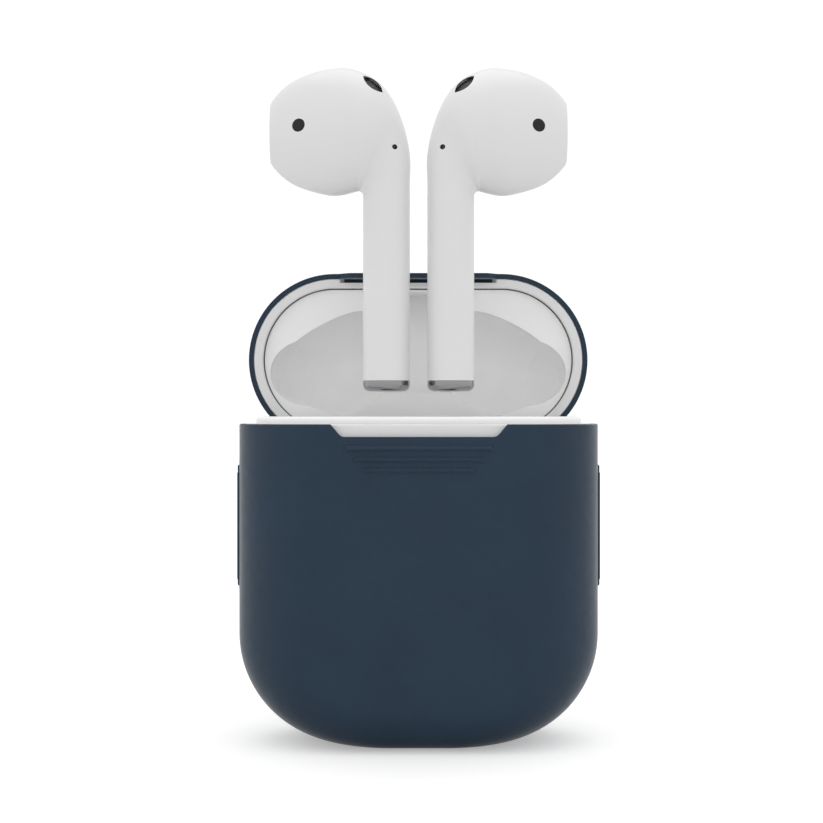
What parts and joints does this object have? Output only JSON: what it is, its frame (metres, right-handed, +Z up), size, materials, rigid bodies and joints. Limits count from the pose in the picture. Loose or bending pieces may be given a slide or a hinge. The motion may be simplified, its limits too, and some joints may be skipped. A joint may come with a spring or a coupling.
{
  "type": "wireless earbuds charging case",
  "caption": "Pebble-shaped charging case in a two-part silicone skin, its hinged lid open, with two stemmed earbuds held above their wells.",
  "frame": {"origin": "centre of the flat base of the case's body, in the mouth of the charging port", "axes": "+Z up along the body and the longest extent, +X to the right seen from the front, the front faces -Y and the lid opens towards +Y"},
  "size_m": [0.0462, 0.0383, 0.0854],
  "materials": {
    "battery_foil": "foil-wrapped cell",
    "chrome_cap": "bright plated metal ring",
    "circuit_board": "solder-masked circuit board",
    "clear_light_pipe": "clear moulded light pipe",
    "contact_metal": "plated contact",
    "dark_mesh": "fine woven mesh, near black",
    "driver_body": "black moulded body",
    "magnet_metal": "nickel-plated magnet",
    "navy_silicone": "soft-touch matt moulded silicone, dark navy",
    "polished_steel": "polished steel hinge",
    "screw_steel": "plain steel",
    "sensor_glass": "infrared-clear black window",
    "socket_metal": "drawn steel socket",
    "white_button": "white moulded button",
    "white_gloss_case": "polished white moulded plastic",
    "white_gloss_earbud": "polished white moulded plastic",
    "white_satin_lining": "white moulded plastic, slightly softer gloss than the outside"
  },
  "bodies": {
    "case_body": {"battery_cell_left": "battery_foil", "battery_cell_right": "battery_foil", "body_magnets": "magnet_metal", "body_outer_shell": "white_gloss_case", "button_switch": "driver_body", "charge_contacts_left": "contact_metal", "charge_contacts_right": "contact_metal", "charge_port_socket": "socket_metal", "hinge_body_leaf": "polished_steel", "hinge_body_screws": "screw_steel", "hinge_pin": "polished_steel", "hinge_spring": "screw_steel", "inner_tray": "white_satin_lining", "main_board": "circuit_board", "skin_body_sleeve": "navy_silicone", "status_light_board": "circuit_board", "status_light_pipe": "clear_light_pipe"},
    "lid": {"hinge_lid_leaf": "polished_steel", "hinge_lid_screws": "screw_steel", "lid_inner_liner": "white_satin_lining", "lid_magnets": "magnet_metal", "lid_outer_shell": "white_gloss_case", "skin_lid_cap": "navy_silicone"},
    "earbud_left": {"earbud_left_battery": "battery_foil", "earbud_left_board": "circuit_board", "earbud_left_front_cap": "white_gloss_earbud", "earbud_left_mic_mesh": "dark_mesh", "earbud_left_sensor_window": "sensor_glass", "earbud_left_shell": "white_gloss_earbud", "earbud_left_speaker_driver": "driver_body", "earbud_left_speaker_grille": "dark_mesh", "earbud_left_stem_cap": "chrome_cap", "earbud_left_stem_cap_mesh": "dark_mesh", "earbud_left_vent_mesh": "dark_mesh"},
    "earbud_right": {"earbud_right_battery": "battery_foil", "earbud_right_board": "circuit_board", "earbud_right_front_cap": "white_gloss_earbud", "earbud_right_mic_mesh": "dark_mesh", "earbud_right_sensor_window": "sensor_glass", "earbud_right_shell": "white_gloss_earbud", "earbud_right_speaker_driver": "driver_body", "earbud_right_speaker_grille": "dark_mesh", "earbud_right_stem_cap": "chrome_cap", "earbud_right_stem_cap_mesh": "dark_mesh", "earbud_right_vent_mesh": "dark_mesh"},
    "setup_button": {"setup_button": "white_button"}
  },
  "joints": [
    {"name": "lid_hinge", "type": "hinge", "parent": "case_body", "child": "lid", "pos_m": [0, 0.01003, 0.03843], "axis": [1, 0, 0], "range_deg": [0, 90]},
    {"name": "earbud_left_lift", "type": "slide", "parent": "case_body", "child": "earbud_left", "axis": [0, 0, 1], "range_m": [-0.0359, 0.073]},
    {"name": "earbud_right_lift", "type": "slide", "parent": "case_body", "child": "earbud_right", "axis": [0, 0, 1], "range_m": [-0.0359, 0.073]},
    {"name": "setup_button_press", "type": "slide", "parent": "case_body", "child": "setup_button", "axis": [0, -1, 0], "range_m": [0, 0.0004], "stiffness_N_per_m": 400, "springref_m": -0.0004}
  ],
  "couplings": [
    {"joint": "earbud_left_lift", "follows": "lid_hinge", "m_per_rad": 0.0458},
    {"joint": "earbud_right_lift", "follows": "lid_hinge", "m_per_rad": 0.0458}
  ]
}
